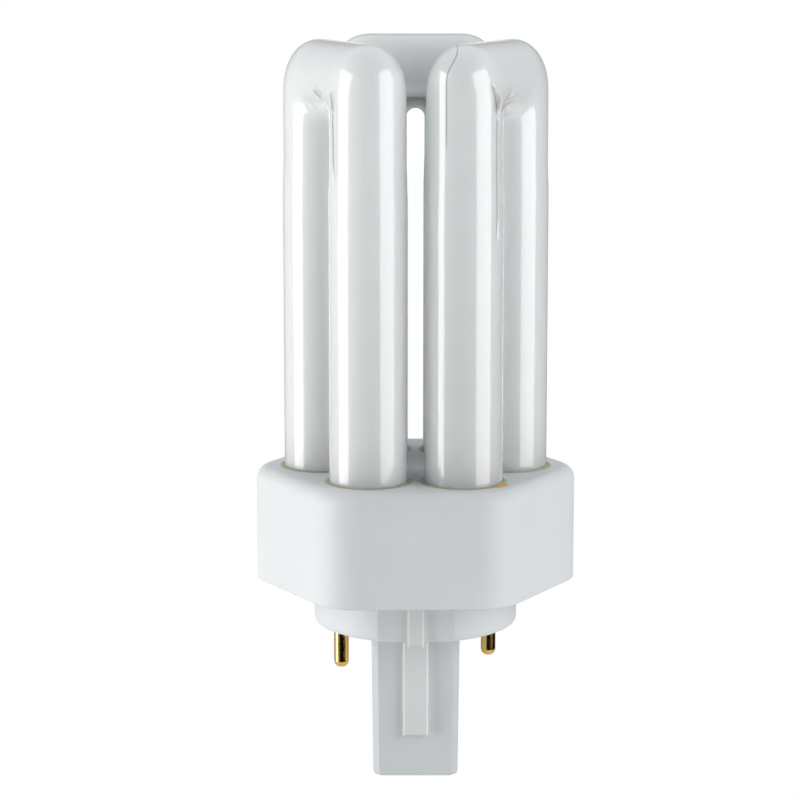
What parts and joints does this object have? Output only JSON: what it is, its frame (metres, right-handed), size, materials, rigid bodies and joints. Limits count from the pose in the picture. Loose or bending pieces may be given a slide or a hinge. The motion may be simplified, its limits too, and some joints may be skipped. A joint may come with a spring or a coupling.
{
  "type": "compact fluorescent lamp",
  "caption": "Plug-in compact fluorescent lamp: U shaped glass tubes in a ring, a six-sided plastic housing, a round collar, a square centre post and contact pins.",
  "frame": {"origin": "centre of the collar's lower face, where the lamp seats in its holder, on the lamp's long axis", "axes": "+Z from the cap up the tubes, -Y to the front with the nearer pin, +X to the right seen from the front"},
  "size_m": [0.049, 0.0446, 0.1138],
  "materials": {
    "coated_glass": "clear glass over a white inner coating",
    "housing_plastic": "fine matt moulded",
    "cap_plastic": "fine matt moulded",
    "cement": "cured amber cement",
    "pin_brass": "bright drawn",
    "wire": "plain drawn",
    "starter_glass": "clear",
    "capacitor_dip": "dipped lacquer"
  },
  "bodies": {
    "root": {"discharge_tube": "coated_glass", "housing": "housing_plastic", "cap": "cap_plastic", "cement_ring_1": "cement", "cement_ring_2": "cement", "cement_ring_3": "cement", "cement_ring_4": "cement", "cement_ring_5": "cement", "cement_ring_6": "cement", "contact_pin_1": "pin_brass", "contact_pin_2": "pin_brass", "lead_wire_1": "wire", "lead_wire_2": "wire", "lead_wire_3": "wire", "lead_wire_4": "wire", "glow_starter": "starter_glass", "starter_capacitor": "capacitor_dip"}
  },
  "joints": []
}
